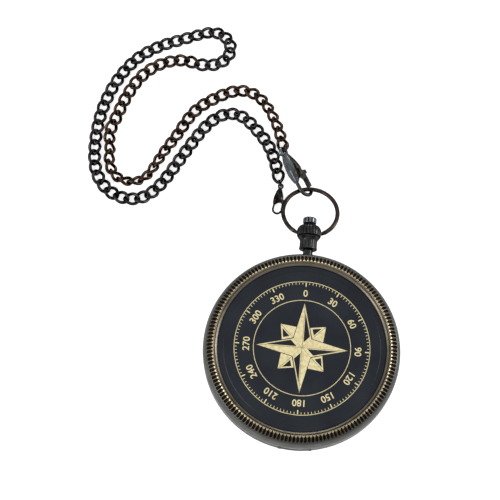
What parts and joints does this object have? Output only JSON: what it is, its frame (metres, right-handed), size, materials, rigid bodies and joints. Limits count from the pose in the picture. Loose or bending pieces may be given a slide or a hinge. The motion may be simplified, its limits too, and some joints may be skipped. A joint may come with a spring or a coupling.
{
  "type": "pocket compass",
  "caption": "Closed hunter-case pocket compass with notched lid rim, push-button crown, round bow and a doubled curb chain with a clasp at each end",
  "frame": {"origin": "centre of the flat back face that the compass rests on", "axes": "+Z is the outward side of the closed lid, +Y points along the crown, +X is to the right seen from the lid side"},
  "size_m": [0.0822, 0.1108, 0.0124],
  "materials": {
    "case_metal": "antiqued gunmetal plating, softly worn",
    "rim_bronze": "antique bronze plating, dark in the notches",
    "plate_black": "satin blue-black lacquer with a printed dial figure",
    "crown_metal": "dark gunmetal, bright on the flutes",
    "steel": "plain spring and pivot steel",
    "inner_brass": "turned brass, satin",
    "dial_paper": "printed card, ivory",
    "needle_steel": "steel strip, one half painted red",
    "jewel": "polished red jewel",
    "gasket": "black rubber",
    "glass": "clear flat glass",
    "bow_bronze": "bronze-grey plated wire",
    "clasp_metal": "gunmetal, bright on the arms",
    "chain_brown": "antique brown-black plating",
    "chain_black": "black plating with bright edges"
  },
  "bodies": {
    "chain": {"bow": "bow_bronze", "clasp_body": "clasp_metal", "clasp_rivet": "steel", "clasp_spring": "steel", "clasp_jump_ring": "bow_bronze", "small_clasp_body": "clasp_metal", "small_clasp_rivet": "steel", "small_clasp_spring": "steel", "small_clasp_jump_ring": "clasp_metal", "chain_strand_a": "chain_brown", "chain_fold": "chain_black", "chain_strand_b": "chain_black"},
    "case": {"case_back": "case_metal", "case_knuckles": "case_metal", "hinge_pin": "steel", "capsule_ring": "inner_brass", "compass_cup": "inner_brass", "dial_card": "dial_paper", "pivot_post": "inner_brass", "glass_gasket": "gasket", "glass": "glass", "bezel_ring": "inner_brass", "lock_spring": "steel", "lift_spring": "steel", "spring_screws": "steel", "saddle_washer": "case_metal", "neck_tube": "case_metal", "collar": "case_metal", "crown_ball": "crown_metal", "button_spring": "steel"},
    "lid": {"lid_rim": "rim_bronze", "lid_knuckles": "case_metal", "lid_plate": "plate_black"},
    "needle": {"needle": "needle_steel", "needle_hub": "inner_brass", "needle_jewel": "jewel"},
    "button": {"button_cap": "crown_metal", "button_stem": "steel"},
    "latch": {"lock_catch": "steel"},
    "lever_a": {"clasp_lever": "clasp_metal"},
    "lever_b": {"small_clasp_lever": "clasp_metal"}
  },
  "joints": [
    {"name": "case_swing", "type": "hinge", "parent": "chain", "child": "case", "pos_m": [0, 0.03045, 0.006], "axis": [-1, 0, 0], "range_deg": [0, 140]},
    {"name": "lid_hinge", "type": "hinge", "parent": "case", "child": "lid", "pos_m": [0, -0.02315, 0.0066], "axis": [1, 0, 0], "range_deg": [0, 110], "deforming": ["lift_spring"]},
    {"name": "button_slide", "type": "slide", "parent": "case", "child": "button", "axis": [0, -1, 0], "range_m": [0, 0.0007], "stiffness_N_per_m": 400, "deforming": ["button_spring"]},
    {"name": "latch_slide", "type": "slide", "parent": "case", "child": "latch", "axis": [0, -1, 0], "range_m": [0, 0.0007], "stiffness_N_per_m": 400, "deforming": ["lock_spring"]},
    {"name": "needle_spin", "type": "hinge", "parent": "case", "child": "needle", "pos_m": [0, 0, 0.0048], "axis": [0, 0, 1], "continuous": true},
    {"name": "lever_a_hinge", "type": "hinge", "parent": "chain", "child": "lever_a", "pos_m": [-0.00426, 0.0483, 0.00227], "axis": [0.5627, 0.3509, 0.7485], "range_deg": [-14, 0], "stiffness_Nm_per_rad": 0.004},
    {"name": "lever_b_hinge", "type": "hinge", "parent": "chain", "child": "lever_b", "pos_m": [-0.00773, 0.0408, 0.00079], "axis": [-0.0121, -0.0687, 0.9976], "range_deg": [-28, 0], "stiffness_Nm_per_rad": 0.001}
  ],
  "couplings": [
    {"joint": "latch_slide", "follows": "button_slide", "ratio": 1}
  ]
}
